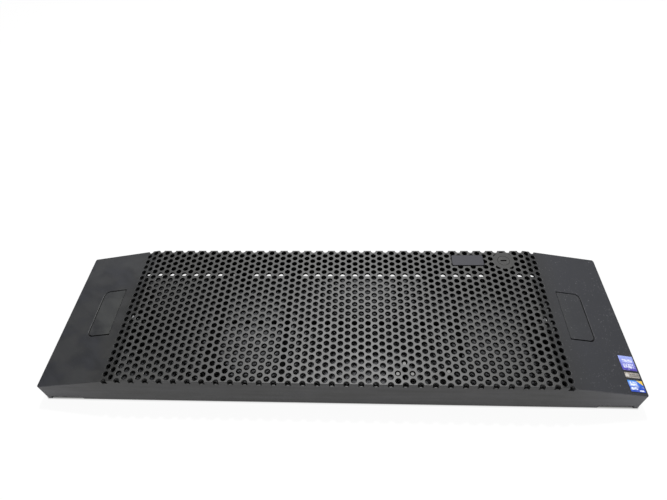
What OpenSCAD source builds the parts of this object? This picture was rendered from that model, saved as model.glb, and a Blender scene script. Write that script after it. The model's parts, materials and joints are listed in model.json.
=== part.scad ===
// Front bezel for a rack server three units high, lying on its open back with its face up.
// X runs along the width, Y up the face and Z out of the face, in millimetres.

/* [Bezel body] */
// Overall width across the end walls
body_w = 465; // [450:0.5:482]
// Overall height, three rack units less the gap to the neighbours
body_h = 132.3; // [120:0.1:140]
// Depth from the back rim to the flat of the face
body_d = 31.8; // [30:0.1:38]
// Thickness of the face and the wings
face_t = 2.2; // [1.8:0.1:2.6]
// Thickness of the side walls
wall_t = 2; // [1.6:0.1:2.4]
// Radius on the corners where the wings meet the end walls
corner_r = 2; // [1:0.5:4]

/* [Wings] */
// Width of the flat face between the two folds
face_w = 334; // [326:1:340]
// How far each wing falls back from its fold to its end
wing_drop = 13.1; // [11:0.1:14]
// Outside radius of the fold
fold_r = 12; // [6:1:20]
// How far the rim is raised behind the wings
relief_h = 3.2; // [1:0.1:4]
// Length of the raised rim on each side
relief_l = 29.5; // [20:0.5:34]
// Length of the small foot at each corner
foot_l = 4.5; // [3:0.5:8]

/* [Grille] */
// Whole pitches of the honeycomb from the bottom edge to the top edge
grille_rows = 12; // [9:1:12]
// Width of the bars between the holes
bar_w = 3.1; // [2:0.1:4]

/* [Ribs and posts] */
// Thickness of the ribs behind the grille
rib_t = 1.6; // [1.2:0.1:2.5]
// Height of the low cross rib behind the grille
cross_rib_h = 4; // [2:0.5:8]
// Half of the distance between the screen posts across the width
post_x = 87.3; // [84:0.1:92]
// Distance from the upper and lower edges in to the screen posts
post_edge = 12.65; // [12.2:0.05:16]
// Diameter of the screen posts
post_d = 9.5; // [8:0.1:11]

/* [Rear screen] */
// Width of the sheet steel screen
screen_w = 388; // [378:1:390]
// Thickness of the sheet
sheet_t = 1; // [0.8:0.1:1.2]
// Gap from the screen's long edges to the walls
screen_gap = 5.6; // [4.5:0.1:6]
// Height of the screen's outer face over the back rim
screen_z = 3; // [2.6:0.1:4]
// Height of the flanges folded back along the screen's long edges
flange_h = 2; // [1:0.1:2.4]

/* [Screws] */
// Shank diameter of the screws
screw_d = 2.9; // [2.5:0.1:3.2]
// Head diameter of the screws
screw_head_d = 5.8; // [5:0.1:6.5]
// Head height of the screws
screw_head_h = 1.9; // [1.4:0.1:2.2]
// Shank length of the screws
screw_l = 9; // [6:0.5:9.5]

/* [Release levers] */
// Distance from the middle of the bezel to the inner edge of a lever's pad
pad_x = 185.8; // [184:0.1:190]
// Width of the pad along the wing
pad_w = 19.6; // [16:0.1:22]
// Height of the pad
pad_h = 45; // [43:0.5:48]
// Radius of the pad's outer corners
pad_r = 4; // [2.5:0.1:5]
// Gap round the pad
pad_gap = 0.8; // [0.4:0.1:1]
// Gap along the pad's inner edge, beside the hinge
hinge_gap = 0.35; // [0.3:0.05:0.8]
// Depth of the skirt round the pad
skirt_h = 7.6; // [6.6:0.1:8]
// Thickness of the skirt
skirt_t = 1.6; // [1.2:0.1:2]
// Diameter of the hinge pins
pin_d = 3; // [2.5:0.1:4]
// Distance from the middle of the bezel to the hinge axis
pin_x = 163.7; // [160:0.1:164]
// Distance from the face down to the hinge axis
pin_drop = 9.3; // [9:0.1:10]
// Diameter of the hinge knuckles
knuckle_d = 7; // [6.5:0.1:8]
// Distance from the middle ear to each outer ear of a hinge
ear_pitch = 18.9; // [18:0.1:19.5]
// Width of each ear
ear_w = 9.4; // [8:0.1:10]

/* [Latch hooks] */
// Thickness of the steel hooks
hook_t = 1.5; // [1.2:0.1:2]
// Distance from the hinge axis to the outer face of the hook's leg
hook_reach = 17.5; // [16:0.1:18]
// Height of the hook's tip over the back rim
hook_z = 4.6; // [4.2:0.1:6]
// Width of the hook's leg
hook_w = 16; // [12:0.5:20]
// How far the barb stands out from the leg
barb_l = 3.5; // [2:0.1:4]

/* [Return springs] */
// Outer diameter of the return springs
spring_d = 7; // [6:0.1:8]
// Diameter of the spring wire
wire_d = 0.8; // [0.6:0.1:1]
// Number of turns in a spring
spring_turns = 5; // [4:1:6]
// Width of the plate that carries a spring
plate_w = 10; // [9:0.5:12]
// Thickness of that plate
plate_t = 1.5; // [1.2:0.1:2]
// Height of the plate's lower face over the back rim
plate_z = 8.5; // [8:0.1:9.5]
// Distance from the middle of the pad to each plate screw
plate_screw_y = 29; // [28:0.5:31]

/* [Cam lock] */
// Distance from the middle of the bezel to the lock
lock_x = 147.5; // [146:0.1:149]
// Distance from the upper edge down to the lock and the badge
lock_edge = 11.65; // [11:0.05:12]
// Diameter of the solid pad round the lock
lock_pad_d = 18.4; // [17:0.1:18.6]
// Diameter of the lock's housing
housing_d = 13; // [12:0.1:13.5]
// Diameter of the visible end of the plug
plug_d = 10; // [8:0.1:10.4]
// Width of the keyway
key_w = 5.2; // [4:0.1:6]
// Length of the cam from the lock's axis to its tip
cam_l = 9; // [8:0.1:9.2]
// Width of the cam
cam_w = 9; // [8:0.5:9.5]

/* [Badge and labels] */
// Width of the badge plate
badge_w = 27.5; // [24:0.5:30]
// Height of the badge plate
badge_h = 11.8; // [10:0.1:13]
// Distance from the middle of the bezel to the badge
badge_x = 116; // [114:0.1:118]
// Thickness of the badge plate
badge_t = 1.2; // [0.8:0.1:1.6]
// Depth of the badge's seat in the face
badge_seat = 0.6; // [0.3:0.1:1]
// Width of the labels
label_w = 12.5; // [10:0.1:13]
// Thickness of the labels
label_t = 0.25; // [0.2:0.05:0.4]
// Gap from the labels to the outer end of the wing
label_edge = 1; // [0.8:0.1:3]
// Distance from the lower edge up to the top of the upper label
label_rise = 33.55; // [33.5:0.05:35]
// Height of the upper label
label_a_h = 13.5; // [12:0.1:14]
// Height of the strip label
label_b_h = 4.8; // [4:0.1:5.5]
// Height of the lower label
label_c_h = 10; // [8:0.1:10.5]

/* [Hidden] */

$fn = 48;
fit = 0.05;     // radial clearance of a pin or screw in its hole
play = 0.3;     // gap between pieces that pass or stop each other
cut = 1;        // how far a cutting solid runs past the face that it opens
arc_steps = 6;  // flats that stand for the curve of a fold or corner

plastic = [0.16, 0.16, 0.17];
steel = [0.66, 0.67, 0.68];
dark_steel = [0.42, 0.43, 0.45];

// ---- the section across the width ----

fold_x = face_w / 2;
end_x = body_w / 2;
wing_run = end_x - fold_x;
wing_a = atan(wing_drop / wing_run);
fold_c = [fold_x - fold_r * tan(wing_a / 2), body_d - fold_r];
face_z = body_d - face_t;
wall_y = body_h / 2 - wall_t;
relief_x = end_x - relief_l;
post_y = body_h / 2 - post_edge;
lock_y = body_h / 2 - lock_edge;

function arc(c, r, from, to, steps = arc_steps) =
    [for (i = [0 : steps]) let (a = from + (to - from) * i / steps) c + r * [cos(a), sin(a)]];
function reversed(p) = [for (i = [len(p) - 1 : -1 : 0]) p[i]];
function mirrored(p) = [for (q = reversed(p)) [-q[0], q[1]]];

// Height of the wing's outer surface, or of a surface some depth under it
function wing_z(x, depth = 0) = body_d - (x - fold_x) * tan(wing_a) - depth / cos(wing_a);

// The line of the face and wing on the right, at a depth under the outer surface
function skin_line(depth) = concat(
    arc(fold_c, fold_r - depth, 90, 90 - wing_a),
    [[end_x, wing_z(end_x, depth)]]
);

// The lower edge of a long wall on the right: raised behind the wing, with a foot at the corner
rim_line = [
    [end_x, 0],
    [end_x - foot_l, 0],
    [end_x - foot_l, relief_h],
    [relief_x, relief_h],
    [relief_x - relief_h / 2, 0]
];

module extrude_y(length) {
    rotate([90, 0, 0])
        linear_extrude(length, center = true)
            children();
}

// Turns a local frame onto the right wing: x runs outwards along the wing, z out of it
module on_wing(x) {
    translate([x, 0, wing_z(x)])
        rotate([0, wing_a, 0])
            children();
}

module left_side() {
    mirror([1, 0, 0])
        children();
}

module both_sides() {
    children();
    left_side()
        children();
}

module round_rect(w, h, r) {
    x = w / 2 - r;
    y = h / 2 - r;
    polygon(concat(
        arc([x, y], r, 0, 90), arc([-x, y], r, 90, 180),
        arc([-x, -y], r, 180, 270), arc([x, -y], r, 270, 360)
    ));
}

// ---- front shell ----

pitch = body_h / grille_rows;
col_step = pitch * sqrt(3) / 2;
hole_r = (pitch - bar_w) / sqrt(3);
half_cols = floor((fold_x - hole_r + 0.5) / col_step);
cell_drop = 0.2;  // the holes run this far past the back of the face
bite = face_t / 4;  // how far a rib, ear or post reaches into the face
long_ribs = [-101, -41];
short_rib_x = 101;
short_rib_y = [-33, 14];
cross_rib_y = -9.45;
pin_edge = 18.95;  // small locating pins: one by each long edge, and a pair nearer the lower one
pair_edge = 9.45;
pin_mid_x = 54.6;
pair_step = 5.45;
small_pin_d = 4.6;
wing_rib_h = 4;
wing_rib_end = 4;
wing_rib_y = body_h / 2 - 22.15;
badge_y = lock_y;
badge_r = 1.5;
badge_margin = 1;
screen_top = screen_z + sheet_t;
ear_r = knuckle_d / 2;
pad_in_r = 0.8;
least_r = 0.1;
pin_z = body_d - pin_drop;
plate_x = pad_x + pad_w * cos(wing_a) / 2;
plate_top = plate_z + plate_t;
boss_wall = 2.1;
lock_boss_z = 12;
lip_t = 1.6;

module skin() {
    extrude_y(body_h)
        polygon(concat(
            skin_line(0), reversed(skin_line(face_t)),
            mirrored(reversed(skin_line(face_t))), mirrored(skin_line(0))
        ));
}

// A long wall reaches from the rim up to just under the outer surface
module long_wall() {
    translate([0, wall_y + wall_t / 2, 0])
        extrude_y(wall_t)
            polygon(concat(
                skin_line(face_t / 2), rim_line,
                mirrored(rim_line), mirrored(skin_line(face_t / 2))
            ));
}

module end_wall() {
    translate([end_x - wall_t, -body_h / 2, relief_h])
        cube([wall_t, body_h, wing_z(end_x, face_t / 2) - relief_h]);
}

// A cell of the field stays solid where the lock or the badge is
function is_open(x, y) =
    norm([x - lock_x, y - lock_y]) > lock_pad_d / 2 + hole_r / 3
    && (abs(x - badge_x) > badge_w / 2 + hole_r / 3 || abs(y - badge_y) > badge_h / 2 + hole_r / 3);

module hole_field() {
    for (c = [-half_cols : half_cols])
        let (odd = abs(c) % 2, x = c * col_step)
            for (r = [0 : grille_rows - odd])
                let (y = (r + odd / 2) * pitch - body_h / 2)
                    if (is_open(x, y))
                        translate([x, y])
                            circle(hole_r, $fn = 6);
}

module grille_cuts() {
    translate([0, 0, face_z - cell_drop])
        linear_extrude(face_t + cell_drop + cut)
            difference() {
                hole_field();
                translate([lock_x, lock_y])
                    circle(d = lock_pad_d);
                translate([badge_x, badge_y])
                    square([badge_w + 2 * badge_margin, badge_h + 2 * badge_margin], center = true);
            }
}

module rib_x(x, y_from, y_to) {
    translate([x - rib_t / 2, y_from, screen_top])
        cube([rib_t, y_to - y_from, face_z - screen_top + bite]);
}

module post(x, y, d, z) {
    translate([x, y, z])
        cylinder(d = d, h = face_z - z + bite);
}

module ribs() {
    for (x = long_ribs)
        rib_x(x, -wall_y - wall_t / 2, wall_y + wall_t / 2);
    rib_x(short_rib_x, short_rib_y[0], short_rib_y[1]);
    translate([long_ribs[0], cross_rib_y - rib_t / 2, face_z - cross_rib_h])
        cube([short_rib_x - long_ribs[0], rib_t, cross_rib_h + bite]);
}

module posts() {
    for (x = [-post_x, post_x], y = [-post_y, post_y])
        post(x, y, post_d, screen_top);
    for (y = [pin_edge - body_h / 2, body_h / 2 - pin_edge])
        post(pin_mid_x, y, small_pin_d, screen_top);
    for (x = [pin_mid_x - pair_step, pin_mid_x + pair_step])
        post(x, pair_edge - body_h / 2, small_pin_d, screen_top);
}

module ear_profile() {
    difference() {
        polygon(concat(
            [[ear_r, face_z + bite - pin_z], [-ear_r, face_z + bite - pin_z]],
            arc([0, 0], ear_r, 180, 360)
        ));
        circle(d = pin_d + 2 * fit);
    }
}

module hinge_ears() {
    for (y = [-ear_pitch, 0, ear_pitch])
        translate([pin_x, y, pin_z])
            extrude_y(ear_w)
                ear_profile();
}

// Bosses beside the lever carry the spring plate
module plate_bosses() {
    for (y = [-plate_screw_y, plate_screw_y])
        translate([plate_x, y, plate_top])
            cylinder(d = screw_d + 2 * boss_wall, h = wing_z(plate_x, face_t / 2) - plate_top);
}

module wing_ribs() {
    x_in = fold_x + wing_rib_end;
    x_out = end_x - wall_t - wing_rib_end;
    x_wall = end_x - wall_t / 2;
    for (y = [-wing_rib_y, wing_rib_y])
        translate([0, y, 0])
            extrude_y(rib_t)
                polygon([
                    [x_in, wing_z(x_in, face_t / 2)],
                    [x_in, wing_z(x_in, face_t) - wing_rib_h],
                    [x_out, wing_z(x_out, face_t) - wing_rib_h],
                    [x_wall, relief_h + wing_rib_end],
                    [x_wall, wing_z(x_wall, face_t / 2)]
                ]);
}

// The pad's outline, with its inner edge on the Y axis and its two outer corners round
module pad_outline(grow = 0, inner = 0) {
    x_out = pad_w + grow;
    y = pad_h / 2 + grow;
    r = pad_r + grow;
    q = max(pad_in_r + inner, least_r);
    polygon(concat(
        arc([x_out - r, y - r], r, 0, 90), arc([q - inner, y - q], q, 90, 180),
        arc([q - inner, q - y], q, 180, 270), arc([x_out - r, r - y], r, 270, 360)
    ));
}

module pad_opening() {
    on_wing(pad_x)
        translate([0, 0, -face_t - cut])
            linear_extrude(face_t + 2 * cut)
                pad_outline(pad_gap, hinge_gap);
}

module screw_holes() {
    for (x = [-post_x, post_x], y = [-post_y, post_y])
        translate([x, y, screen_top - cut])
            cylinder(d = screw_d + 2 * fit, h = screw_l + cut);
    both_sides()
        for (y = [-plate_screw_y, plate_screw_y])
            translate([plate_x, y, plate_top - cut])
                cylinder(d = screw_d + 2 * fit, h = screw_l + cut);
}

// The lock's boss is bored from behind and keeps a lip round the plug at the face
module lock_bore() {
    translate([lock_x, lock_y, lock_boss_z - cut])
        cylinder(d = housing_d + 2 * fit, h = face_z - lip_t - lock_boss_z + cut);
    translate([lock_x, lock_y, face_z - lip_t - cut])
        cylinder(d = plug_d + 2 * play, h = face_t + lip_t + 2 * cut);
}

module badge_cut() {
    translate([badge_x, badge_y, body_d - badge_seat])
        linear_extrude(badge_seat + cut)
            round_rect(badge_w + 2 * fit, badge_h + 2 * fit, badge_r + fit);
}

module corner_cut() {
    translate([end_x - corner_r, body_h / 2 - corner_r, -cut])
        linear_extrude(body_d + 2 * cut)
            difference() {
                square(corner_r + cut);
                circle(corner_r);
            }
}

module front_shell() {
    color(plastic)
        difference() {
            union() {
                skin();
                long_wall();
                mirror([0, 1, 0])
                    long_wall();
                both_sides() {
                    end_wall();
                    hinge_ears();
                    plate_bosses();
                    wing_ribs();
                }
                ribs();
                posts();
                post(lock_x, lock_y, lock_pad_d, lock_boss_z);
            }
            grille_cuts();
            both_sides() {
                pad_opening();
                corner_cut();
                mirror([0, 1, 0])
                    corner_cut();
            }
            screw_holes();
            lock_bore();
            badge_cut();
        }
}

// ---- rear screen ----

// The slit along each long wall lets the keeper for the lock in at the upper edge
screen_h = 2 * (wall_y - screen_gap);
window_gap = 2.5;   // clearance of the window in the screen round each hook
window_swing = 4;   // the same on the inner side, which the hook swings to

module screen_sheet() {
    difference() {
        square([screen_w, screen_h], center = true);
        for (x = [-post_x, post_x], y = [-post_y, post_y])
            translate([x, y])
                circle(d = screw_d + 2 * fit);
        both_sides()
            translate([leg_x - hook_t - window_swing, -hook_w / 2 - window_gap])
                square([window_swing + hook_t + barb_l + window_gap, hook_w + 2 * window_gap]);
    }
}

module rear_screen() {
    color(steel) {
        translate([0, 0, screen_z])
            linear_extrude(sheet_t)
                screen_sheet();
        for (y = [-screen_h / 2, screen_h / 2 - sheet_t])
            translate([-screen_w / 2, y, screen_z - flange_h])
                cube([screen_w, sheet_t, flange_h + sheet_t / 2]);
    }
}

recess_w = screw_head_d / 2;
recess_t = 0.7;

// A pan head screw under its seat at z = 0, with a cross recess, its shank pointing up
module screw(length) {
    cylinder(d = screw_d, h = length);
    difference() {
        translate([0, 0, -screw_head_h])
            cylinder(d1 = screw_head_d - screw_head_h / 2, d2 = screw_head_d, h = screw_head_h);
        for (a = [0, 90])
            rotate(a)
                translate([0, 0, -screw_head_h])
                    cube([recess_w, recess_t, screw_head_h], center = true);
    }
}

module screen_screws() {
    color(dark_steel)
        for (x = [-post_x, post_x], y = [-post_y, post_y])
            translate([x, y, screen_z])
                screw(screw_l + sheet_t - play);
}

// ---- badge and labels ----

module badge_plate() {
    color("dimgray")
        translate([badge_x, badge_y, body_d - badge_seat])
            linear_extrude(badge_t)
                round_rect(badge_w, badge_h, badge_r);
}

label_gap = 1;
label_gap_low = 1.5;
label_a_top = label_rise - body_h / 2;
label_b_top = label_a_top - label_a_h - label_gap;
label_c_top = label_b_top - label_b_h - label_gap_low;

module label(y_top, h) {
    on_wing(end_x - label_edge - label_w * cos(wing_a))
        translate([0, y_top - h, 0])
            cube([label_w, h, label_t]);
}

module upper_label() {
    color("mediumpurple")
        label(label_a_top, label_a_h);
}

module strip_label() {
    color("silver")
        label(label_b_top, label_b_h);
}

module lower_label() {
    color("royalblue")
        label(label_c_top, label_c_h);
}

// ---- cam lock ----

nut_h = 3;
nut_af = 16;
housing_top = face_z - lip_t;
nut_turns = 0.5;  // how far the housing stands out of the nut
housing_bottom = lock_boss_z - nut_h - nut_turns;
core_d = plug_d - 2;
tail_w = 5;
cam_t = 2;
cam_tip_r = 3;
cam_top = housing_bottom - play;
cam_screw_l = 4;
key_t = 1.5;
key_depth = 14;

module at_lock(z = 0) {
    translate([lock_x, lock_y, z])
        children();
}

module lock_housing() {
    color(dark_steel)
        at_lock(housing_bottom)
            difference() {
                cylinder(d = housing_d, h = housing_top - housing_bottom);
                translate([0, 0, -cut])
                    cylinder(d = core_d + 2 * fit, h = housing_top + 2 * cut);
            }
}

module lock_nut() {
    color(steel)
        at_lock(lock_boss_z - nut_h)
            difference() {
                cylinder(d = nut_af / cos(30), h = nut_h, $fn = 6);
                translate([0, 0, -cut])
                    cylinder(d = housing_d + 2 * fit, h = nut_h + 2 * cut);
            }
}

module lock_plug() {
    color("gray")
        at_lock()
            difference() {
                union() {
                    translate([0, 0, housing_top])
                        cylinder(d = plug_d, h = body_d - housing_top);
                    translate([0, 0, cam_top])
                        cylinder(d = core_d, h = housing_top - cam_top);
                    translate([-tail_w / 2, -tail_w / 2, cam_top - cam_t])
                        cube([tail_w, tail_w, cam_t + cut]);
                }
                translate([-key_w / 2, -key_t / 2, body_d - key_depth])
                    cube([key_w, key_t, key_depth + cut]);
                translate([0, 0, cam_top - cam_t - cut])
                    cylinder(d = screw_d + 2 * fit, h = cam_screw_l + 2 * cut);
            }
}

module lock_cam() {
    color(steel)
        at_lock(cam_top - cam_t)
            linear_extrude(cam_t)
                difference() {
                    polygon(concat(
                        arc([0, cam_l - cam_tip_r], cam_tip_r, 0, 180),
                        arc([0, 0], cam_w / 2, 180, 360)
                    ));
                    square(tail_w + 2 * fit, center = true);
                }
}

module cam_screw() {
    color(dark_steel)
        at_lock(cam_top - cam_t)
            screw(cam_screw_l);
}

// ---- release lever, right side ----

ear_gap = play;
knuckle_w = ear_pitch - ear_w - 2 * ear_gap;
arm_t = 3.4;
arm_z = wing_z(pad_x) - skirt_h + arm_t / 2;
arm_end = pad_x + skirt_t + 2 * play;
skirt_inset = 0.2;
seat_z = wing_z(plate_x, face_t) - 2.4;
seat_rim = 0.7;
stud_d = spring_d - 2 * wire_d - 1;
stud_h = 1.6;
stop_w = 36;
stop_l = 2.6;
hook_hole = 2.2;
hook_seat = arm_z - arm_t / 2;
hook_screw_x = pin_x + 10;

module pad() {
    on_wing(pad_x) {
        translate([0, 0, -face_t])
            linear_extrude(face_t)
                pad_outline();
        translate([0, 0, -skirt_h])
            linear_extrude(skirt_h - face_t / 2)
                difference() {
                    pad_outline(-skirt_inset, -skirt_inset);
                    pad_outline(-skirt_inset - skirt_t, -skirt_inset - skirt_t);
                }
        // the stop under the wing's edge
        translate([pad_w - skirt_t, -stop_w / 2, -face_t - play - lip_t])
            cube([skirt_t + stop_l, stop_w, lip_t]);
    }
}

module lever_arms() {
    for (y = [-ear_pitch / 2, ear_pitch / 2])
        translate([0, y, 0])
            extrude_y(knuckle_w)
                difference() {
                    union() {
                        translate([pin_x, pin_z])
                            circle(d = knuckle_d);
                        translate([pin_x, arm_z - arm_t / 2])
                            square([arm_end - pin_x, arm_t]);
                    }
                    translate([pin_x, pin_z])
                        circle(d = pin_d + 2 * fit);
                }
}

module spring_seat() {
    translate([plate_x, 0, seat_z])
        cylinder(d = spring_d + 2 * seat_rim, h = wing_z(plate_x, face_t / 2) - seat_z);
    translate([plate_x, 0, seat_z - stud_h])
        cylinder(d = stud_d, h = stud_h + cut);
}

module hook_screw_holes() {
    for (y = [-ear_pitch / 2, ear_pitch / 2])
        translate([hook_screw_x, y, hook_seat - cut])
            cylinder(d = screw_d + 2 * fit, h = hook_hole + cut);
}

module right_lever() {
    color(plastic)
        difference() {
            union() {
                pad();
                lever_arms();
                spring_seat();
            }
            hook_screw_holes();
        }
}

module left_lever() {
    left_side()
        right_lever();
}

module right_hinge_pin() {
    color(steel)
        translate([pin_x, 0, pin_z])
            rotate([90, 0, 0])
                cylinder(d = pin_d, h = 2 * ear_pitch + ear_w + 1, center = true);
}

module left_hinge_pin() {
    left_side()
        right_hinge_pin();
}

// ---- latch hook, right side ----

leg_x = pin_x + hook_reach;
hook_start = ear_r + 1.5;
barb_rise = 1.6;
barb_edge = 0.8;

module right_hook() {
    color(steel) {
        difference() {
            translate([pin_x + hook_start, -ear_pitch / 2 - knuckle_w / 2, hook_seat - hook_t])
                cube([hook_reach - hook_start, ear_pitch + knuckle_w, hook_t]);
            for (y = [-ear_pitch / 2, ear_pitch / 2])
                translate([hook_screw_x, y, hook_seat - hook_t - cut])
                    cylinder(d = screw_d + 2 * fit, h = hook_t + 2 * cut);
        }
        extrude_y(hook_w)
            polygon([
                [leg_x - hook_t, hook_seat], [leg_x - hook_t, hook_z],
                [leg_x, hook_z], [leg_x + barb_l, hook_z + barb_rise],
                [leg_x + barb_l, hook_z + barb_rise + barb_edge],
                [leg_x, hook_z + barb_rise + barb_edge], [leg_x, hook_seat]
            ]);
    }
}

module left_hook() {
    left_side()
        right_hook();
}

module right_hook_screws() {
    color(dark_steel)
        for (y = [-ear_pitch / 2, ear_pitch / 2])
            translate([hook_screw_x, y, hook_seat - hook_t])
                screw(hook_hole + hook_t - play);
}

module left_hook_screws() {
    left_side()
        right_hook_screws();
}

// ---- return spring and its plate, right side ----

plate_end = 4;

module right_spring_plate() {
    color(steel) {
        difference() {
            translate([plate_x - plate_w / 2, -plate_screw_y - plate_end, plate_z])
                cube([plate_w, 2 * (plate_screw_y + plate_end), plate_t]);
            for (y = [-plate_screw_y, plate_screw_y])
                translate([plate_x, y, plate_z - cut])
                    cylinder(d = screw_d + 2 * fit, h = plate_t + 2 * cut);
        }
        translate([plate_x, 0, plate_z])
            cylinder(d = stud_d, h = plate_t + stud_h);
    }
}

module left_spring_plate() {
    left_side()
        right_spring_plate();
}

module plate_screws() {
    color(dark_steel)
        both_sides()
            for (y = [-plate_screw_y, plate_screw_y])
                translate([plate_x, y, plate_z])
                    screw(screw_l + plate_t - play);
}

// A round wire swept along a helix, its end turns closed up
wire_sides = 8;
turn_steps = 14;
spring_h = seat_z - plate_top - 2 * fit;

function spring_rise(t) =
    let (n = spring_turns, flat = wire_d * 1.05, pitch_z = (spring_h - wire_d - 2 * flat) / (n - 2))
        t < 1 ? flat * t : t > n - 1 ? flat + (n - 2) * pitch_z + flat * (t - n + 1) : flat + pitch_z * (t - 1);

module helix_wire() {
    steps = spring_turns * turn_steps;
    r = (spring_d - wire_d) / 2;
    points = [
        for (i = [0 : steps])
            let (t = i / turn_steps, a = 360 * t, z = spring_rise(t))
                for (k = [0 : wire_sides - 1])
                    let (b = 360 * k / wire_sides, q = r + wire_d / 2 * cos(b))
                        [q * cos(a), q * sin(a), z + wire_d / 2 * sin(b)]
    ];
    sides = [
        for (i = [0 : steps - 1], k = [0 : wire_sides - 1])
            let (n = (k + 1) % wire_sides, p = i * wire_sides, q = p + wire_sides)
                [p + k, p + n, q + n, q + k]
    ];
    start_cap = [[for (k = [wire_sides - 1 : -1 : 0]) k]];
    end_cap = [[for (k = [0 : wire_sides - 1]) steps * wire_sides + k]];
    polyhedron(points, concat(sides, start_cap, end_cap));
}

module right_spring() {
    color("silver")
        translate([plate_x, 0, plate_top + wire_d / 2 + fit])
            helix_wire();
}

module left_spring() {
    left_side()
        right_spring();
}

front_shell();
rear_screen();
screen_screws();
badge_plate();
upper_label();
strip_label();
lower_label();
lock_housing();
lock_nut();
lock_plug();
lock_cam();
cam_screw();
left_lever();
right_lever();
left_hinge_pin();
right_hinge_pin();
left_hook();
right_hook();
left_hook_screws();
right_hook_screws();
left_spring_plate();
right_spring_plate();
plate_screws();
left_spring();
right_spring();
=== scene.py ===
"""Looks of a moulded front bezel for a rack server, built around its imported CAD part."""

import json
import math

import bmesh
import bpy
from mathutils import Matrix, Vector

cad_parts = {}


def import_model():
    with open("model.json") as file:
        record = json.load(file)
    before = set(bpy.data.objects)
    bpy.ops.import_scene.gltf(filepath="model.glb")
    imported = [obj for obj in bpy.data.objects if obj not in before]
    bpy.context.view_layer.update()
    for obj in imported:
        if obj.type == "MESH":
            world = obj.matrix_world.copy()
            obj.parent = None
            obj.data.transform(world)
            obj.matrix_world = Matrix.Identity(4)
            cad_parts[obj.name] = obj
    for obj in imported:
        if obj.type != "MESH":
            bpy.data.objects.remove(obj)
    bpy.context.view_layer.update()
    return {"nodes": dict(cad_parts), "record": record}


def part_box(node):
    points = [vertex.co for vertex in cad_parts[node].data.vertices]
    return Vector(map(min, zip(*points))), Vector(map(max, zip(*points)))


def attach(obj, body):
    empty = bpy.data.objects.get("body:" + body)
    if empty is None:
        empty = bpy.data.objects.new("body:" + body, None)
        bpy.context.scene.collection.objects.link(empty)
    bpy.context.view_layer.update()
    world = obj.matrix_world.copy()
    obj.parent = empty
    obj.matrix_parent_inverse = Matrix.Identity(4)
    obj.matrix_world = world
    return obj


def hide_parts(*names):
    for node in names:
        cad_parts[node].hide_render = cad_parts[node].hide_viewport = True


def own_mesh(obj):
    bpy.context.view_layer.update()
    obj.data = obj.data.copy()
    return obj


MM = 0.001

# The shell, as the CAD part has it
BODY_W, BODY_H, BODY_D = 465 * MM, 132.3 * MM, 31.8 * MM
FACE_T = 2.2 * MM
FOLD_X, FOLD_R, WING_DROP = 167 * MM, 12 * MM, 13.1 * MM
WING_A = math.atan(WING_DROP / (BODY_W / 2 - FOLD_X))

# The grille: a honeycomb of 65 columns, with the odd ones half a pitch up and a hole short
PITCH = 6.3 * MM
HALF_COLUMNS = 32
HOLE_AF, HOLE_CORNER, HOLE_LIP = 4.4 * MM, 0.75 * MM, 0.2 * MM
HOLE_DEPTH, PUNCH_PAST = 3.7 * MM, 0.6 * MM

# The rounding of the shell's outer edges, and of the pieces that are shown as eased copies
EDGE_R, PIECE_EASE = 0.2 * MM, 0.25 * MM

# The pads: where each one starts, its size and corners, the gap round it, how much wider that is
# at its outer end, the gap at its hinge, and the eased edge of its opening
PAD_X, PAD_W, PAD_H, PAD_R = 185.8 * MM, 19.6 * MM, 45 * MM, 4 * MM
PAD_GAP, PAD_PAST, HINGE_GAP, PAD_EASE = 0.8 * MM, 0.35 * MM, 0.35 * MM, 0.3 * MM

# Holes of the grille that show the pale tip of a pin, by column, pitches up and depth
PIN_TIPS = ((9, -9, 0.6 * MM), (11, -9, 0.6 * MM), (10, -7.5, 2 * MM), (16, -8.5, 2 * MM))
TIP_D = 2.6 * MM

# How far the filler in the coarse cells goes past the folds, and stands out behind the face
FILL_END, FILL_PAST = 1.5 * MM, 0.2 * MM

# The rear screen's fine perforation, and the plain border that it keeps
PORE_PITCH, PORE_D, PORE_MARGIN = 2 * MM, 1.2 * MM, 4 * MM

# How close two corners of a CAD mesh are to be one, and how level two triangles to be one face
WELD_WITHIN, LEVEL_WITHIN = 0.002 * MM, math.radians(0.5)

# Straight steps in each bend of the face and each quarter of a rounded corner
BEND_STEPS, ARC_STEPS = 6, 6

# The lock and the badge
LOCK_AT, LOCK_PAD_D = (147.5 * MM, 54.5 * MM), 18.4 * MM
BADGE_AT, BADGE_SIZE = (116 * MM, 54.5 * MM), (27.5 * MM, 11.8 * MM)
MOAT_DEPTH = 0.7 * MM

# Where the eye stands and what it looks at
EYE = Vector((21.55, -236.99, 369.24)) * MM
AIM = Vector((-3.6, 67.03, 31.8)) * MM
ROLL = math.radians(-3.49)
LENS = 26.74

# The floor: half its width and its height, how much of its own white it shows over the light and
# shadow on it, and where under the bezel it shows that too, in the slit beside the rear screen
FLOOR_SIZE, FLOOR_Z, FLOOR_GLOW, SLIT_Y = 4.0, -0.0002, 0.95, 59.6 * MM

# What the lamps face
LAMPS_AIM = (0, 0, 20 * MM)


# ---- shader maths ----


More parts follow.
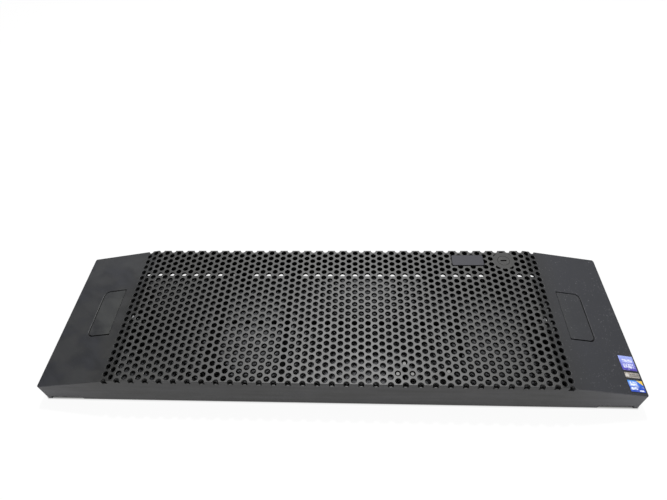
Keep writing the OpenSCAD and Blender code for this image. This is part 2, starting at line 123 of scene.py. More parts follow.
class Wire:
    """A node's output in a finish, so that sums on it are written as plain expressions."""

    def __init__(self, finish, socket):
        self.finish, self.socket = finish, socket

    def _maths(self, operation, *values):
        return self.finish.add("ShaderNodeMath", {"operation": operation}, *values)

    def __add__(self, other):
        return self._maths("ADD", self, other)

    def __sub__(self, other):
        return self._maths("SUBTRACT", self, other)

    def __rsub__(self, other):
        return self._maths("SUBTRACT", other, self)

    def __mul__(self, other):
        return self._maths("MULTIPLY", self, other)

    def __truediv__(self, other):
        return self._maths("DIVIDE", self, other)

    def __abs__(self):
        return self._maths("ABSOLUTE", self)

    __radd__, __rmul__ = __add__, __mul__

    def clipped(self):
        return self.finish.add(
            "ShaderNodeMath", {"operation": "ADD", "use_clamp": True}, self, 0.0
        )

    def over(self, edge, softness):
        """0 below edge, 1 above it, with a ramp that is softness wide."""
        return ((self - (edge - softness / 2)) / softness).clipped()


class Finish:
    """A material under construction, with its surface node and calls that add nodes."""

    def __init__(self, name, **surface):
        self.material = bpy.data.materials.new(name)
        self.material.use_nodes = True
        self.tree = self.material.node_tree
        self.surface = self.tree.nodes["Principled BSDF"]
        self.set(**surface)
        self.place = self.add("ShaderNodeTexCoord", {}, out="Object")

    def _feed(self, socket, value):
        if isinstance(value, Wire):
            self.tree.links.new(value.socket, socket)
        elif value is not None:
            socket.default_value = value

    def add(self, kind, settings=None, *values, out=0, **named):
        node = self.tree.nodes.new(kind)
        for key, value in (settings or {}).items():
            setattr(node, key, value)
        for socket, value in zip(node.inputs, values):
            self._feed(socket, value)
        for key, value in named.items():
            self._feed(node.inputs[key.replace("_", " ")], value)
        return Wire(self, node.outputs[out])

    def set(self, **named):
        for key, value in named.items():
            self._feed(self.surface.inputs[key.replace("_", " ")], value)

    def noise(self, size, detail=2.0, stretch=(1, 1, 1), turn=0.0):
        """Noise from 0 to 1 with features about size metres across, turned in X and Y."""
        place = self.place
        if turn:
            place = self.add("ShaderNodeMapping", {}, Vector=place, Rotation=(0, 0, turn))
        scale = [s / size for s in stretch]
        place = self.add("ShaderNodeMapping", {}, Vector=place, Scale=scale)
        return self.add("ShaderNodeTexNoise", {}, Vector=place, Scale=1.0, Detail=detail)

    def specks(self, cell, radius, share, seed=0.0):
        """1 on specks up to that radius, in a share of the cells of that size, and 0 elsewhere."""
        place = self.add(
            "ShaderNodeMapping", {}, Vector=self.place, Location=(seed,) * 3, Scale=(1 / cell,) * 3
        )
        node = self.tree.nodes.new("ShaderNodeTexVoronoi")
        self._feed(node.inputs["Vector"], place)
        self._feed(node.inputs["Scale"], 1.0)
        near = radius / cell - Wire(self, node.outputs["Distance"])
        pick = self.add("ShaderNodeSeparateColor", {}, Wire(self, node.outputs["Color"]))
        return near.over(0.0, 0.3 * radius / cell) * pick.over(1 - share, 0.01)

    def along(self, axis):
        """The place along one axis, in metres."""
        return self.add("ShaderNodeSeparateXYZ", {}, self.place, out=axis)

    def distance(self, place, point):
        """How far a place is from a point at no height, in metres."""
        return self.add(
            "ShaderNodeVectorMath", {"operation": "DISTANCE"}, place, (*point, 0), out="Value"
        )

    def ramp(self, value, *stops):
        """A colour that runs through stops, each of them a value and its colour."""
        colour = self.add("ShaderNodeValToRGB", {}, value)
        ramp = colour.socket.node.color_ramp
        while len(ramp.elements) < len(stops):
            ramp.elements.new(0.5)
        for element, (at, tone) in zip(ramp.elements, stops):
            element.position, element.color = at, (*tone, 1)
        return colour

    def blend(self, amount, first, second):
        node = self.tree.nodes.new("ShaderNodeMix")
        node.data_type = "RGBA"
        for index, value in ((0, amount), (6, first), (7, second)):
            value = value if isinstance(value, (Wire, float)) else (*value, 1)
            self._feed(node.inputs[index], value)
        return Wire(self, node.outputs[2])

    def bump(self, height, depth):
        return self.add("ShaderNodeBump", {}, Height=height, Strength=1.0, Distance=depth)


def beyond(across, up, half_w, half_h, softness):
    """1 outside a rectangle that is given by half its width and height, and 0 inside it."""
    return (abs(across).over(half_w, softness) + abs(up).over(half_h, softness)).clipped()


# ---- finishes ----


def cell_at(column, row):
    """The middle of a cell of the grille."""
    return column * PITCH * math.sqrt(3) / 2, row * PITCH


def srgb(*levels):
    """A colour as light levels, from its 0 to 255 screen levels."""
    return tuple(
        (v / 255 / 12.92) if v <= 10 else ((v / 255 + 0.055) / 1.055) ** 2.4 for v in levels
    )


def moulded_plastic(name, warm, cool, worn):
    """Black plastic, warm by the grille and cool on the wings, with wear and dust, painted shade
    in the gaps round the pads and the badge, and painted light on the right wing and at the ends
    of the front wall.
    """
    f = Finish(name, IOR=1.46)
    x, y, z = (f.along(axis) for axis in "XYZ")
    wing = abs(x).over(FOLD_X + 13 * MM, 26 * MM)
    right = x.over(FOLD_X, 30 * MM)
    left = (0 - x).over(FOLD_X, 30 * MM)
    front_wall = (0 - y).over(BODY_H / 2 - 0.4 * MM, 0.3 * MM)
    streaks = f.noise(4 * MM, detail=3.0, stretch=(0.06, 1, 1)).over(0.5, 0.3)
    cloud = f.noise(26 * MM, detail=3.0, stretch=(1, 1.3, 1))
    stroke = f.noise(9 * MM, detail=2.0, stretch=(0.34, 1.2, 1), turn=math.radians(38))
    stroke = stroke.over(0.52, 0.2)
    grain = f.noise(0.35 * MM, detail=1.0)
    coarse_specks = f.specks(3 * MM, 0.3 * MM, 0.2) * (0.06 + right * 0.6)
    fine_specks = f.specks(1.1 * MM, 0.2 * MM, 0.3, seed=7.3) * right
    specks = coarse_specks + fine_specks * (0.25 + cloud.over(0.54, 0.1) * 0.5)
    flat = f.add("ShaderNodeCombineXYZ", {}, x, y, 0.0)
    tips = sum(
        1 - f.distance(flat, cell_at(column, row)).over(0.55 * TIP_D, 0.05 * MM)
        for column, row, _ in PIN_TIPS
    )
    off_lock = f.distance(flat, LOCK_AT).over(LOCK_PAD_D / 2, 0.6 * MM)

    # dust lies on the outer face only, and a gap round a pad or the badge is darkened under its
    # edges with painted shade
    past_fold = f.add("ShaderNodeMath", {"operation": "MAXIMUM"}, abs(x) - FOLD_X, 0.0)
    below = BODY_D - past_fold * math.tan(WING_A) - z
    specks = specks * (1 - below.over(0.6 * MM, 0.2 * MM))
    off_pads = beyond(
        abs(x) - PAD_X - PAD_W / 2, y, PAD_W / 2 + 1 * MM, PAD_H / 2 + 1.4 * MM, 0.1 * MM
    )
    badge_w, badge_h = (size / 2 + 0.6 * MM for size in BADGE_SIZE)
    off_badge = beyond(x - BADGE_AT[0], y - BADGE_AT[1], badge_w, badge_h, 0.1 * MM)
    # painted shade: surfaces below the outer face in the gaps round the pads and the badge
    painted_gap_shade = below.over(0.32 * MM, 0.1 * MM) * (2 - off_pads - off_badge)

    colour = f.blend((wing - cloud.over(0.5, 0.14) * left * 0.8).clipped(), warm, cool)
    colour = f.blend(left * stroke * 0.4, colour, srgb(15, 16, 18))
    # the left wing is rubbed paler in clouds and is paler towards its top; the right wing is made
    # a little paler all over, as painted light
    left_rub_and_top_paling = cloud.over(0.52, 0.14) * 0.26 + y.over(30 * MM, 50 * MM) * 0.2
    colour = f.blend((right * 0.12 + left * left_rub_and_top_paling).clipped(), colour, worn)
    wall = f.blend(cloud.over(0.5, 0.2), srgb(21, 21, 22), srgb(28, 26, 24))
    colour = f.blend(front_wall * 0.7, colour, wall)
    # the front wall is paler in its streaks, and paler towards its ends, most at the right end, as
    # painted light
    painted_light_at_wall_ends = abs(x).over(200 * MM, 60 * MM) * (0.4 + right * 0.5)
    wall_streaks_and_painted_light = front_wall * (streaks * 0.28 + painted_light_at_wall_ends).clipped()
    colour = f.blend(wall_streaks_and_painted_light, colour, srgb(78, 78, 83))
    colour = f.blend(specks.clipped() * 0.6, colour, srgb(165, 165, 170))
    colour = f.blend(tips.clipped(), colour, srgb(72, 72, 70))
    roughness = 0.47 + cloud * 0.06 + stroke * 0.02 + painted_gap_shade * 0.4 + (1 - off_lock) * 0.12
    f.set(
        # painted shade: the gaps round the pads and the badge are darkened to near black, and made
        # rougher
        Base_Color=f.blend(painted_gap_shade, colour, srgb(7, 7, 8)),
        Roughness=roughness.clipped(),
        Normal=f.bump(grain, 0.03 * MM),
    )
    return f.material


def rolled_steel(name, colour, roughness):
    """Plated sheet steel with rolling lines along the width and soft cloudy plating."""
    f = Finish(name, Metallic=1.0)
    lines = f.noise(0.5 * MM, detail=2.0, stretch=(0.03, 1, 1))
    cloud = f.noise(9 * MM, detail=4.0)
    stain = f.noise(38 * MM, detail=2.0).over(0.6, 0.2)
    tone = f.blend(cloud.over(0.5, 0.5), colour, tuple(0.8 * c for c in colour))
    f.set(
        Base_Color=f.blend(stain * 0.4, tone, tuple(0.6 * c for c in colour)),
        Roughness=(roughness + lines * 0.12 + cloud * 0.08).clipped(),
        Normal=f.bump(lines, 0.01 * MM),
    )
    return f.material


def screen_sheet():
    """Dull plated sheet, with a perforation too fine to be cut as holes, drawn as dark dots of
    painted shade.
    """
    f = Finish("perforated screen sheet", Metallic=0.7)
    low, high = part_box("rear_screen")
    place = f.add(
        "ShaderNodeMapping", {}, Vector=f.place, Rotation=(0, 0, math.radians(45)),
        Scale=(math.sqrt(2) / PORE_PITCH,) * 3,
    )
    cells = f.add(
        "ShaderNodeTexVoronoi", {"voronoi_dimensions": "2D"},
        Vector=place, Scale=1.0, Randomness=0.0,
    )
    inside = (
        (1 - abs(f.along("X")).over(high.x - PORE_MARGIN, 0.1 * MM))
        * (1 - abs(f.along("Y")).over(high.y - PORE_MARGIN, 0.1 * MM))
    )
    # painted shade: each pore is drawn as a dark dot where a hole would show the shade behind the
    # sheet
    pore = (1 - cells.over(PORE_D / PORE_PITCH / math.sqrt(2), 0.08)) * inside
    cloud = f.noise(9 * MM, detail=4.0)
    tone = f.blend(cloud.over(0.5, 0.5), srgb(62, 63, 65), srgb(48, 49, 51))
    f.set(
        Base_Color=f.blend(pore, tone, srgb(24, 24, 25)),
        Roughness=(0.5 + cloud * 0.1).clipped(),
        Normal=f.bump(1 - pore, 0.1 * MM),
    )
    return f.material


def spring_wire():
    """Bright wire with fine drawing marks."""
    f = Finish("drawn spring wire", Metallic=1.0)
    draw = f.noise(0.3 * MM, detail=2.0)
    f.set(
        Base_Color=f.blend(draw, srgb(150, 150, 150), srgb(196, 196, 192)),
        Roughness=(0.26 + draw * 0.14).clipped(),
    )
    return f.material


def blackened_screw():
    """Dark plating that is worn pale in spots."""
    f = Finish("dark plated screw", Metallic=1.0)
    wear = f.noise(1.2 * MM, detail=3.0)
    f.set(
        Base_Color=f.blend(wear.over(0.55, 0.2), srgb(70, 71, 74), srgb(120, 121, 124)),
        Roughness=(0.34 + wear * 0.2).clipped(),
    )
    return f.material


def die_cast_lock():
    """Black coating over a cast surface, rubbed in places."""
    f = Finish("black die-cast lock metal", Metallic=0.1)
    cast = f.noise(0.6 * MM, detail=3.0)
    rub = f.noise(3 * MM, detail=2.0).over(0.56, 0.2)
    f.set(
        Base_Color=f.blend(rub, srgb(24, 24, 23), srgb(38, 38, 36)),
        Roughness=(0.5 + cast * 0.16).clipped(),
        Normal=f.bump(cast, 0.02 * MM),
    )
    return f.material


def satin_plate():
    """Dark lavender-grey plate, brushed along its width."""
    f = Finish("satin badge plate", IOR=1.36)
    brush = f.noise(0.6 * MM, detail=2.0, stretch=(0.05, 1, 1))
    f.set(
        Base_Color=f.blend(brush, srgb(40, 40, 45), srgb(48, 48, 54)),
        Roughness=(0.56 + brush * 0.12).clipped(),
        Normal=f.bump(brush, 0.01 * MM),
    )
    return f.material


def printed_film(name, node, paint):
    """Glossy film over a print that paint draws from the label's own width and height, 0 to 1."""
    f = Finish(name, Coat_Weight=0.25, Coat_Roughness=0.3)
    low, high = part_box(node)
    across = (f.along("X") - low.x) / (high.x - low.x)
    up = (f.along("Y") - low.y) / (high.y - low.y)
    edge = (abs(across - 0.5) - 0.465).over(0.0, 0.02) + (abs(up - 0.5) - 0.46).over(0.0, 0.03)
    scuff = f.noise(1.5 * MM, detail=3.0)
    worn = scuff.over(0.62, 0.12) * 0.25
    print_colour = f.blend(worn, paint(f, across, up), srgb(215, 215, 218))
    f.set(
        Base_Color=f.blend(edge.clipped(), print_colour, srgb(40, 40, 48)),
        Roughness=(0.42 + scuff * 0.12).clipped(),
    )
    return f.material


def bar(across, up, left, right, low, high, soft=0.05, broken=None):
    """1 on a soft-edged bar of a label, given by its edges as shares of it, or on parts of one."""
    solid = (
        across.over(left, soft) * (1 - across.over(right, soft))
        * up.over(low, soft) * (1 - up.over(high, soft))
    )
    return solid * (0.25 + broken * 0.75) if broken else solid


def violet_print(f, across, up):
    """Violet, paler to the top, with two broken pale bars."""
    ground = f.ramp(
        up, (0.0, srgb(62, 44, 140)), (0.3, srgb(84, 84, 172)), (1.0, srgb(142, 156, 214))
    )
    broken = f.noise(1.3 * MM, detail=1.0, stretch=(1.5, 0.7, 1)).over(0.5, 0.1)
    bars = (
        bar(across, up, 0.22, 0.86, 0.56, 0.76, broken=broken)
        + bar(across, up, 0.16, 0.84, 0.2, 0.46, broken=broken)
    )
    return f.blend(bars * 0.75, ground, srgb(222, 224, 240))


def silver_print(f, across, up):
    """Silver grey, with two dark lines beside a pale spot."""
    ground = f.ramp(
        across,
        (0.0, srgb(124, 118, 110)), (0.5, srgb(142, 136, 128)), (1.0, srgb(120, 116, 110)),
    )
    lines = bar(across, up, 0.36, 0.92, 0.56, 0.68) + bar(across, up, 0.36, 0.86, 0.3, 0.4)
    from_spot = f.add("ShaderNodeCombineXYZ", {}, (across - 0.18) * 2.6, up - 0.5)
    spot = f.add("ShaderNodeVectorMath", {"operation": "LENGTH"}, from_spot, out="Value")
    ground = f.blend(lines * 0.8, ground, srgb(52, 50, 56))
    return f.blend(1 - spot.over(0.3, 0.08), ground, srgb(178, 174, 168))


def blue_print(f, across, up):
    """Blue, with broken pale patches and a yellow corner."""
    ground = f.ramp(
        up - across * 0.25,
        (0.0, srgb(32, 62, 160)), (0.6, srgb(38, 96, 190)), (1.0, srgb(64, 140, 212)),
    )
    broken = f.noise(1.2 * MM, detail=1.0).over(0.46, 0.12)
    patch = (
        bar(across, up, 0.12, 0.56, 0.5, 0.84, 0.16, broken)
        + bar(across, up, 0.12, 0.52, 0.2, 0.4, broken=broken)
    )
    foot = bar(across, up, 0.6, 0.88, 0.1, 0.2)
    ground = f.blend((patch + foot).clipped() * 0.85, ground, srgb(226, 232, 240))
    return f.blend((across + up).over(1.56, 0.06), ground, srgb(206, 176, 70))


# ---- solids ----


def piece_from(name, mesh, material=None):
    """An object in the scene with this mesh."""
    piece = bpy.data.objects.new(name, mesh)
    bpy.context.scene.collection.objects.link(piece)
    if material:
        mesh.materials.clear()
        mesh.materials.append(material)
    return piece


def copy_of(node):
    """A closed mesh with the shape of a CAD node, whose own mesh is loose triangles."""
    work = bmesh.new()
    work.from_mesh(frame["nodes"][node].data)
    bmesh.ops.remove_doubles(work, verts=work.verts, dist=WELD_WITHIN)
    bmesh.ops.dissolve_limit(work, angle_limit=LEVEL_WITHIN, verts=work.verts, edges=work.edges)
    mesh = bpy.data.meshes.new(node)
    work.to_mesh(mesh)
    work.free()
    return mesh


def finish_piece(piece, material):
    """Gives a piece flat faces in one material."""
    piece.data.materials.clear()
    piece.data.materials.append(material)
    for face in piece.data.polygons:
        face.use_smooth = False
        face.material_index = 0


def loft(name, rings):
    """A solid through rings of points, all with the same count, capped at both ends."""
    count = len(rings[0])
    faces = [tuple(reversed(range(count)))]
    for r in range(len(rings) - 1):
        for k in range(count):
            n = (k + 1) % count
            faces.append((r * count + k, r * count + n, (r + 1) * count + n, (r + 1) * count + k))
    faces.append(tuple((len(rings) - 1) * count + k for k in range(count)))
    mesh = bpy.data.meshes.new(name)
    mesh.from_pydata([p for ring in rings for p in ring], [], faces)
    work = bmesh.new()
    work.from_mesh(mesh)
    bmesh.ops.recalc_face_normals(work, faces=work.faces)
    work.to_mesh(mesh)
    work.free()
    return mesh


def upright(name, outline, low, high):
    """A solid that stands on an outline in X and Y."""
    return loft(name, [[(x, y, z) for x, y in outline] for z in (low, high)])


def circle(centre, diameter, sides=48):
    """The outline of a round thing."""
    return [
        (centre[0] + diameter / 2 * math.cos(a), centre[1] + diameter / 2 * math.sin(a))
        for a in (2 * math.pi * (k + 0.5) / sides for k in range(sides))
    ]


def oblong(centre, size, grow=0.0):
    """The outline of an oblong, grown or shrunk all round."""
    w, h = size[0] / 2 + grow, size[1] / 2 + grow
    corners = ((-1, -1), (1, -1), (1, 1), (-1, 1))
    return [(centre[0] + i * w, centre[1] + j * h) for i, j in corners]


def baked(piece):
    """Puts what the piece's modifiers make into its own mesh."""
    mesh = bpy.data.meshes.new_from_object(
        piece.evaluated_get(bpy.context.evaluated_depsgraph_get())
    )
    piece.modifiers.clear()
    piece.data = mesh
    return piece


def carve(piece, operation, *tools):
    """Cuts tools out of a piece, or joins them to it, and clears the tools away."""
    for mesh in tools:
        tool = mesh if isinstance(mesh, bpy.types.Object) else piece_from("tool", mesh)
        step = piece.modifiers.new("carve", "BOOLEAN")
        step.operation, step.solver, step.object = operation, "MANIFOLD", tool
        baked(piece)
        bpy.data.objects.remove(tool)
    return piece


# ---- honeycomb cutters ----


class Tree:
    """A geometry node tree under construction."""

    def __init__(self, name, sizes):
        self.tree = bpy.data.node_groups.new(name, "GeometryNodeTree")
        face = self.tree.interface
        face.new_socket("Geometry", in_out="INPUT", socket_type="NodeSocketGeometry")
        for key, value in sizes.items():
            kind = "NodeSocketInt" if isinstance(value, int) else "NodeSocketFloat"
            if key == "Finish":
                kind = "NodeSocketMaterial"
            face.new_socket(key, in_out="INPUT", socket_type=kind)
        face.new_socket("Geometry", in_out="OUTPUT", socket_type="NodeSocketGeometry")
        self.given = self.tree.nodes.new("NodeGroupInput")
        self.sizes = sizes

    def size(self, key):
        return self.given.outputs[key]

    def add(self, kind, settings=None, out=0, **named):
        node = self.tree.nodes.new(kind)
        for key, value in (settings or {}).items():
            setattr(node, key, value)
        for key, value in named.items():
            index = int(key[1:]) if key[1:].isdigit() else key.replace("_", " ")
            socket = node.inputs[index]
            if isinstance(value, bpy.types.NodeSocket):
                self.tree.links.new(value, socket)
            else:
                socket.default_value = value
        return node.outputs[out]

    def math(self, operation, *values):
        inputs = {f"_{i}": value for i, value in enumerate(values)}
        return self.add("ShaderNodeMath", {"operation": operation}, **inputs)

    def apply_to(self, piece, geometry):
        end = self.tree.nodes.new("NodeGroupOutput")
        self.tree.links.new(geometry, end.inputs[0])
        step = piece.modifiers.new(self.tree.name, "NODES")
        step.node_group = self.tree
        for item in self.tree.interface.items_tree:
            if item.in_out == "INPUT" and item.name in self.sizes:
                step[item.identifier] = self.sizes[item.name]
        return baked(piece)


def honeycomb(name, punch, sizes):
    """Sets a punch in every cell of a honeycomb that follows the face over its two folds."""
    t = Tree(name, sizes)
    pitch, half, rows = t.size("Pitch"), t.size("Half Columns"), t.size("Rows")
    fold, slope = t.size("Fold Distance"), t.size("Wing Angle")
    columns = t.math("MULTIPLY_ADD", half, 2.0, 1.0)
    grid = t.add(
        "GeometryNodeMeshGrid",
        Size_X=t.math("MULTIPLY", t.math("MULTIPLY", half, pitch), math.sqrt(3)),
        Size_Y=t.math("MULTIPLY", t.math("SUBTRACT", rows, 1.0), pitch),
        Vertices_X=columns, Vertices_Y=rows,
    )
    index = t.add("GeometryNodeInputIndex")
    column = t.math("FLOOR", t.math("DIVIDE", t.math("ADD", index, 0.5), rows))
    row = t.math("SUBTRACT", index, t.math("MULTIPLY", column, rows))
    odd = t.math("PINGPONG", t.math("SUBTRACT", column, half), 1.0)
    last = t.math("MULTIPLY", odd, t.math("GREATER_THAN", row, t.math("SUBTRACT", rows, 1.5)))
    place = t.add("ShaderNodeSeparateXYZ", _0=t.add("GeometryNodeInputPosition"))
    past = t.math("MAXIMUM", t.math("SUBTRACT", t.math("ABSOLUTE", place), fold), 0.0)
    lean = t.math("MULTIPLY", t.math("SIGN", place), slope)
    turn = t.math("MULTIPLY", lean, t.math("GREATER_THAN", past, 0.0))
    drop = t.math("MULTIPLY", past, t.math("TANGENT", slope))
    shift = t.add(
        "ShaderNodeCombineXYZ",
        _1=t.math("MULTIPLY", t.math("MULTIPLY", odd, pitch), 0.5),
        _2=t.math("SUBTRACT", t.size("Height"), drop),
    )
    # the turn is read at the same place as the drop, before the points move
    kept = t.add("GeometryNodeCaptureAttribute", _0=grid)
    capture = kept.node
    capture.capture_items.new("FLOAT", "Turn")
    capture.capture_items.new("FLOAT", "Last")
    t.tree.links.new(turn, capture.inputs[1])
    t.tree.links.new(last, capture.inputs[2])
    moved = t.add("GeometryNodeSetPosition", Geometry=kept, Offset=shift)
    cells = t.add(
        "GeometryNodeDeleteGeometry", {"domain": "POINT"},
        Geometry=moved, Selection=capture.outputs[2],
    )
    angle = t.add("ShaderNodeCombineXYZ", _1=capture.outputs[1])
    rotation = t.add("FunctionNodeEulerToRotation", _0=angle)
    punched = t.add(
        "GeometryNodeInstanceOnPoints",
        Points=cells, Instance=t.size("Geometry"), Rotation=rotation,
    )
    solid = t.add("GeometryNodeRealizeInstances", _0=punched)
    return t.apply_to(
        piece_from(name, punch),
        t.add("GeometryNodeSetMaterial", Geometry=solid, Material=t.size("Finish")),
    )


def hex_ring(across, corner, z, grow=0.0):
    """A hexagon with a point to each side and its corners cut off, as 12 points."""
    radius = across / math.sqrt(3) + grow * 2 / math.sqrt(3)
    ring = []
    for k in range(6):
        tip, before, after = (
            Vector((math.cos(a), math.sin(a))) * radius
            for a in (math.radians(60 * (k + d)) for d in (0, -1, 1))
        )
        ring += [tip + (end - tip).normalized() * corner for end in (before, after)]
    return [(p.x, p.y, z) for p in ring]


def grille_punch():
    """One hole of the grille, from under the face up, with its mouth eased off."""
    return loft("grille punch", [
        hex_ring(HOLE_AF, HOLE_CORNER, -HOLE_DEPTH),
        hex_ring(HOLE_AF, HOLE_CORNER, -HOLE_LIP),
        hex_ring(HOLE_AF, HOLE_CORNER, -0.3 * HOLE_LIP, 0.3 * HOLE_LIP),
        hex_ring(HOLE_AF, HOLE_CORNER, 0, HOLE_LIP),
        hex_ring(HOLE_AF, HOLE_CORNER, PUNCH_PAST, HOLE_LIP),
    ])


def wing_z(x, depth=0.0):
    """The height of the right wing's surface, or of one at a depth under it."""
    return BODY_D - (x - FOLD_X) * math.tan(WING_A) - depth / math.cos(WING_A)


def skin_line(end, depth=0.0):
    """The line of the face's surface over the right fold to an end, or of one under it."""
    centre_x, centre_z = FOLD_X - FOLD_R * math.tan(WING_A / 2), BODY_D - FOLD_R
    bend = [
        (centre_x + (FOLD_R - depth) * math.cos(a), centre_z + (FOLD_R - depth) * math.sin(a))
        for a in (math.pi / 2 - WING_A * k / BEND_STEPS for k in range(BEND_STEPS + 1))
    ]
    return bend + [(end, wing_z(end, depth))]


def mirrored(line):
    """The same line on the left, in the opposite order."""
    return [(-x, z) for x, z in line[::-1]]


def shell_filler():
    """The face as one unpierced plate over both folds, open only round the lock and the badge."""
    end = FOLD_X + FILL_END
    right = skin_line(end) + skin_line(end, FACE_T + FILL_PAST)[::-1]
    outline = right + mirrored(right)
    rings = [[(x, y, z) for x, z in outline] for y in (-BODY_H / 2, BODY_H / 2)]
    low, high = BODY_D - 2 * FACE_T, BODY_D + FACE_T
    return carve(
        piece_from("filler", loft("filler", rings)), "DIFFERENCE",
        upright("lock hole", circle(LOCK_AT, LOCK_PAD_D - 1 * MM), low, high),
        upright("badge hole", oblong(BADGE_AT, BADGE_SIZE, 0.4 * MM), low, high),
    )


def arc(x, y, radius, start):
    """A quarter circle round a point, from a start angle in degrees."""
    return [
        (x + radius * math.cos(a), y + radius * math.sin(a))
        for a in (math.radians(start + 90 * k / ARC_STEPS) for k in range(ARC_STEPS + 1))
    ]


def pad_opening(side):
    """A cutter that widens the gap at a pad's outer end and eases the edge of its opening."""
    ease, rings = PAD_EASE, []
    for depth, grow in ((-3 * MM, 0.0), (-ease, 0.0), (0.0, ease), (ease, 2 * ease)):
        low, high = -HINGE_GAP - grow * 0.4, PAD_W + PAD_GAP + PAD_PAST + grow
        y, r = PAD_H / 2 + PAD_GAP + grow, PAD_R + PAD_GAP + grow
        outline = (
            arc(high - r, y - r, r, 0) + [(low, y), (low, -y)] + arc(high - r, r - y, r, 270)
        )
        rings.append([
            (
                side * (PAD_X + u * math.cos(WING_A) + depth * math.sin(WING_A)),
                v,
                wing_z(PAD_X) - u * math.sin(WING_A) + depth * math.cos(WING_A),
            )
            for u, v in outline
        ])
    return loft("pad opening", rings)


def badge_moat():
    """A narrow cut round the badge's seat."""
    outer, kept = (oblong(BADGE_AT, BADGE_SIZE, grow) for grow in (0.5 * MM, -0.4 * MM))
    moat = piece_from("moat", upright("moat", outer, BODY_D - MOAT_DEPTH, BODY_D + 1 * MM))
    return carve(moat, "DIFFERENCE", upright("kept seat", kept, 0, 2 * BODY_D))


def edge_trims():
    """Slim cutters that round the long upper edges and the outer ends of the wings."""
    r, mid = EDGE_R, 0.29 * EDGE_R
    nick = [(0.0, -r), (-mid, -mid), (-r, 0.0), (-r, 4 * r), (4 * r, 4 * r), (4 * r, -r)]
    side = skin_line(BODY_W / 2 + 3 * MM)
    tilt = [(x, h - x * math.tan(WING_A)) for x, h in nick]
    end_z = BODY_D - WING_DROP
    trims = []
    for s in (1, -1):
        trims.append(loft("long edge", [
            [(x, s * (BODY_H / 2 + y), z + h) for y, h in nick] for x, z in mirrored(side) + side
        ]))
        trims.append(loft("end edge", [
            [(s * (BODY_W / 2 + x), y, end_z + h) for x, h in tilt] for y in (-BODY_H, BODY_H)
        ]))
    return trims


def pin_tips():
    """The tips of pins that stand up in some holes of the grille."""
    low = BODY_D - HOLE_DEPTH - 0.5 * MM
    return [
        upright("tip", circle(cell_at(column, row), TIP_D, 16), low, BODY_D - depth)
        for column, row, depth in PIN_TIPS
    ]


def build_shell(plastic):
    """The CAD shell with its coarse cells filled and the full honeycomb cut in their place."""
    cutters = honeycomb("grille cutters", grille_punch(), {
        "Pitch": PITCH, "Half Columns": HALF_COLUMNS, "Rows": round(BODY_H / PITCH) + 1,
        "Fold Distance": FOLD_X, "Wing Angle": WING_A, "Height": BODY_D, "Finish": plastic,
    })
    carve(
        cutters, "DIFFERENCE",
        upright("lock pad", circle(LOCK_AT, LOCK_PAD_D), 0, 2 * BODY_D),
        upright("badge seat", oblong(BADGE_AT, BADGE_SIZE, 0.2 * MM), 0, 2 * BODY_D),
    )
    shell = piece_from("honeycomb_shell", copy_of("front_shell"))
    carve(shell, "UNION", shell_filler())
    carve(shell, "DIFFERENCE", *edge_trims())
    carve(shell, "DIFFERENCE", pad_opening(1), pad_opening(-1), badge_moat())
    carve(shell, "DIFFERENCE", cutters)
    carve(shell, "UNION", *pin_tips())
    finish_piece(shell, plastic)
    return shell


def sprung(node, joint, material):
    """A copy of a spring, the place it stands on and what its joint's full travel leaves of it."""
    piece = piece_from("coiled_" + node, copy_of(node))
    finish_piece(piece, material)
    low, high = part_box(node)
    reach = max(abs(low.x), abs(high.x)) - abs(joint["pos_m"][0])
    travel = reach * math.tan(math.radians(joint["range_deg"][1]))
    foot = ((low.x + high.x) / 2, (low.y + high.y) / 2, low.z)
    return piece, foot, 1 - travel / (high.z - low.z)


def eased(node, material):
    """A copy of a CAD node with its sharp edges eased."""
    piece = piece_from("eased_" + node, copy_of(node))
    step = piece.modifiers.new("eased edges", "BEVEL")
    step.width, step.segments, step.limit_method = PIECE_EASE, 2, "ANGLE"
    step.angle_limit = math.radians(40)
    baked(piece)
    finish_piece(piece, material)
    return piece


# ---- the bezel ----

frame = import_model()

# a pale plastic tone, for rubbed wear on the left wing and painted light on the right wing
pale_plastic_for_wear_and_painted_light = srgb(60, 61, 64)
shell_plastic = moulded_plastic(
    "black moulded plastic", warm=srgb(33, 33, 32), cool=srgb(38, 39, 43), worn=pale_plastic_for_wear_and_painted_light
)
lever_plastic = moulded_plastic(
    "black lever plastic", warm=srgb(46, 47, 45), cool=srgb(38, 39, 42), worn=pale_plastic_for_wear_and_painted_light
)
finishes = {
    "screen_steel": screen_sheet(),
    "plated_steel": rolled_steel("zinc-plated latch steel", srgb(172, 173, 174), 0.3),
    "spring_steel": spring_wire(),
    "screw_steel": blackened_screw(),
    "lock_metal": die_cast_lock(),
    "badge_finish": satin_plate(),
    "violet_label": printed_film("violet printed film", "upper_label", violet_print),
    "grey_label": printed_film("silver printed film", "strip_label", silver_print),
    "blue_label": printed_film("blue printed film", "lower_label", blue_print),
    "shell_plastic": shell_plastic,
    "lever_plastic": lever_plastic,
}
slots = {part["node"]: part["material_slot"] for part in frame["record"]["subparts"]}
for name, node in frame["nodes"].items():
    node.data.materials.clear()
    node.data.materials.append(finishes[slots[name]])

shell = build_shell(shell_plastic)
dressed = [(shell, "front_shell", "bezel")]
for node, body in (
    ("left_lever", "left_release_lever"),
    ("right_lever", "right_release_lever"),
    ("badge_plate", "bezel"),
):
    dressed.append((eased(node, finishes[slots[node]]), node, body))
joints = {joint["name"]: joint for joint in frame["record"]["behaviour"]["joints"]}
springs = []
for node, joint in (("left_spring", "left_release"), ("right_spring", "right_release")):
    piece, anchor, keep = sprung(node, joints[joint], finishes[slots[node]])
    dressed.append((piece, node, "bezel"))
    springs.append((piece, joint, anchor, keep))
for piece, node, body in dressed:
    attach(piece, body)
    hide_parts(node)
for piece, joint, anchor, keep in springs:
    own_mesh(piece)


# ---- the studio ----


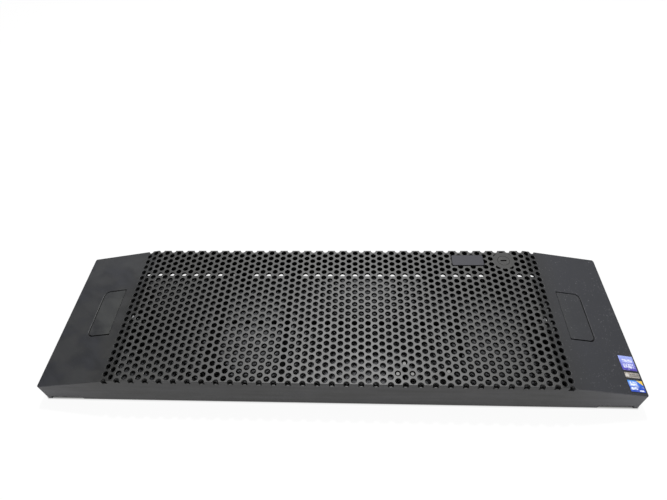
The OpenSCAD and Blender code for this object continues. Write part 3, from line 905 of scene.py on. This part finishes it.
def floor():
    """White to the eye and in mirrors and glass, and in shade under the bezel."""
    f = Finish("white floor", Base_Color=(0.85, 0.85, 0.85, 1), Roughness=0.9)
    path = f.add("ShaderNodeLightPath")
    direct, glossy, through = (
        Wire(f, path.socket.node.outputs[name])
        for name in ("Is Camera Ray", "Is Glossy Ray", "Is Transmission Ray")
    )
    outside = beyond(f.along("X"), f.along("Y"), BODY_W / 2, BODY_H / 2, 2 * MM)
    in_view = (outside + f.along("Y").over(SLIT_Y, 1 * MM)).clipped()
    glow = f.add("ShaderNodeEmission", {}, (1, 1, 1, 1), 1.0)
    share = (direct * in_view + (glossy + through) * outside).clipped() * FLOOR_GLOW
    mix = f.add("ShaderNodeMixShader", {}, share, Wire(f, f.surface.outputs[0]), glow)
    f.tree.links.new(mix.socket, f.tree.nodes["Material Output"].inputs["Surface"])
    material = f.material
    mesh = bpy.data.meshes.new("floor")
    corners = oblong((0, 0), (2 * FLOOR_SIZE, 2 * FLOOR_SIZE))
    mesh.from_pydata([(x, y, FLOOR_Z) for x, y in corners], [], [(0, 1, 2, 3)])
    piece_from("floor", mesh, material)


def softbox(name, at, size, watts):
    """A rectangular lamp that faces the bezel."""
    lamp = bpy.data.lights.new(name, "AREA")
    lamp.shape, (lamp.size, lamp.size_y), lamp.energy = "RECTANGLE", size, watts
    obj = bpy.data.objects.new(name, lamp)
    bpy.context.scene.collection.objects.link(obj)
    obj.location = at
    obj.rotation_euler = (Vector(LAMPS_AIM) - Vector(at)).to_track_quat("-Z", "Y").to_euler()


def world(level):
    """A pale room that lights the bezel and is white to the eye."""
    sky = bpy.data.worlds.new("pale room")
    bpy.context.scene.world = sky
    sky.use_nodes = True
    tree = sky.node_tree
    room = tree.nodes["Background"]
    room.inputs["Color"].default_value = (1, 1, 1, 1)
    room.inputs["Strength"].default_value = level
    white = tree.nodes.new("ShaderNodeBackground")
    white.inputs["Color"].default_value = (1, 1, 1, 1)
    white.inputs["Strength"].default_value = 1.0
    mix = tree.nodes.new("ShaderNodeMixShader")
    path = tree.nodes.new("ShaderNodeLightPath")
    tree.links.new(path.outputs["Is Camera Ray"], mix.inputs[0])
    tree.links.new(room.outputs[0], mix.inputs[1])
    tree.links.new(white.outputs[0], mix.inputs[2])
    tree.links.new(mix.outputs[0], tree.nodes["World Output"].inputs["Surface"])


def camera():
    """The eye, with its lens and its roll."""
    lens = bpy.data.cameras.new("camera")
    lens.lens, lens.clip_start, lens.clip_end = LENS, 0.02, 20
    eye = bpy.data.objects.new("camera", lens)
    bpy.context.scene.collection.objects.link(eye)
    turn = (AIM - EYE).to_track_quat("-Z", "Y").to_matrix().to_4x4()
    eye.matrix_world = Matrix.Translation(EYE) @ turn @ Matrix.Rotation(ROLL, 4, "Z")
    bpy.context.scene.camera = eye


floor()
world(0.15)
softbox("lamp above and behind", (0.0, 0.5, 1.18), (0.07, 0.07), 22.0)
softbox("soft light round the lamp", (0.1, 0.55, 1.2), (0.8, 0.7), 7.0)
softbox("fill in front", (0.2, -0.9, 0.9), (1.2, 0.8), 0.7)
camera()
bpy.context.scene.view_settings.view_transform = "Standard"
